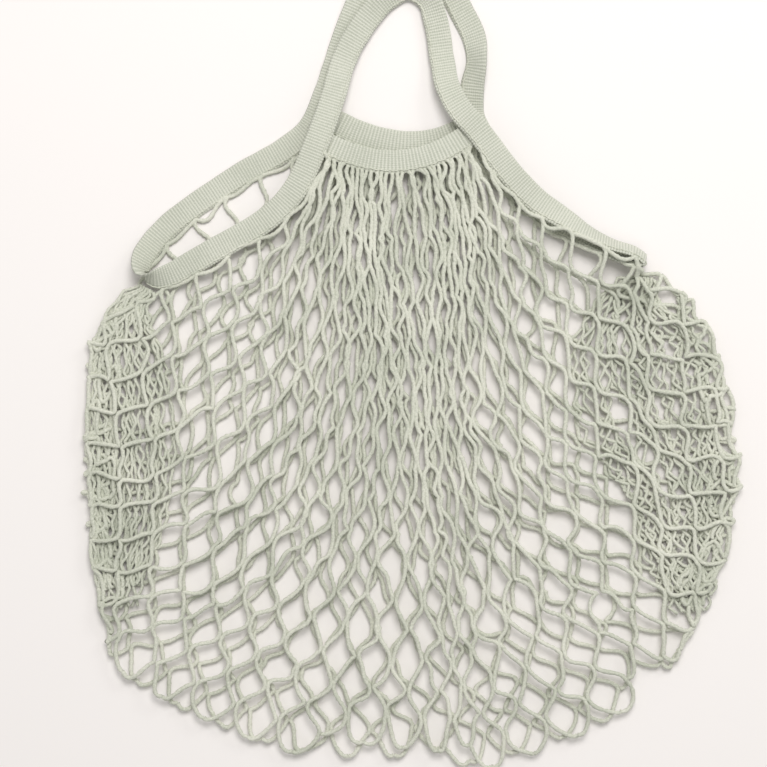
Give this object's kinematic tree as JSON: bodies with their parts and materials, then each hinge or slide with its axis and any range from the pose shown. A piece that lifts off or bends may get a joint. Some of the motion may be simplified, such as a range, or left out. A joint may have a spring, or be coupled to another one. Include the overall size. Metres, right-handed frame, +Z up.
{
  "type": "net shopping bag",
  "caption": "Cotton net shopping bag lying flat, with ribbed mouth bands and a long tape that forms both handles.",
  "frame": {"origin": "on the flat underside of the net, on the table, near the middle of the pouch", "axes": "+X to the right side of the bag, +Y from the bottom of the pouch to the handles, +Z up from the table through the front layer"},
  "size_m": [0.3827, 0.4749, 0.0197],
  "materials": {
    "net": "matt two-ply twisted cotton yarn, pale sage green",
    "band": "matt ribbed cotton band, pale sage green",
    "tape": "matt ribbed cotton tape, pale sage green"
  },
  "bodies": {
    "root": {"net_body": "net", "mouth_band_front": "band", "mouth_band_back": "band", "handle_tape": "tape"}
  },
  "joints": []
}
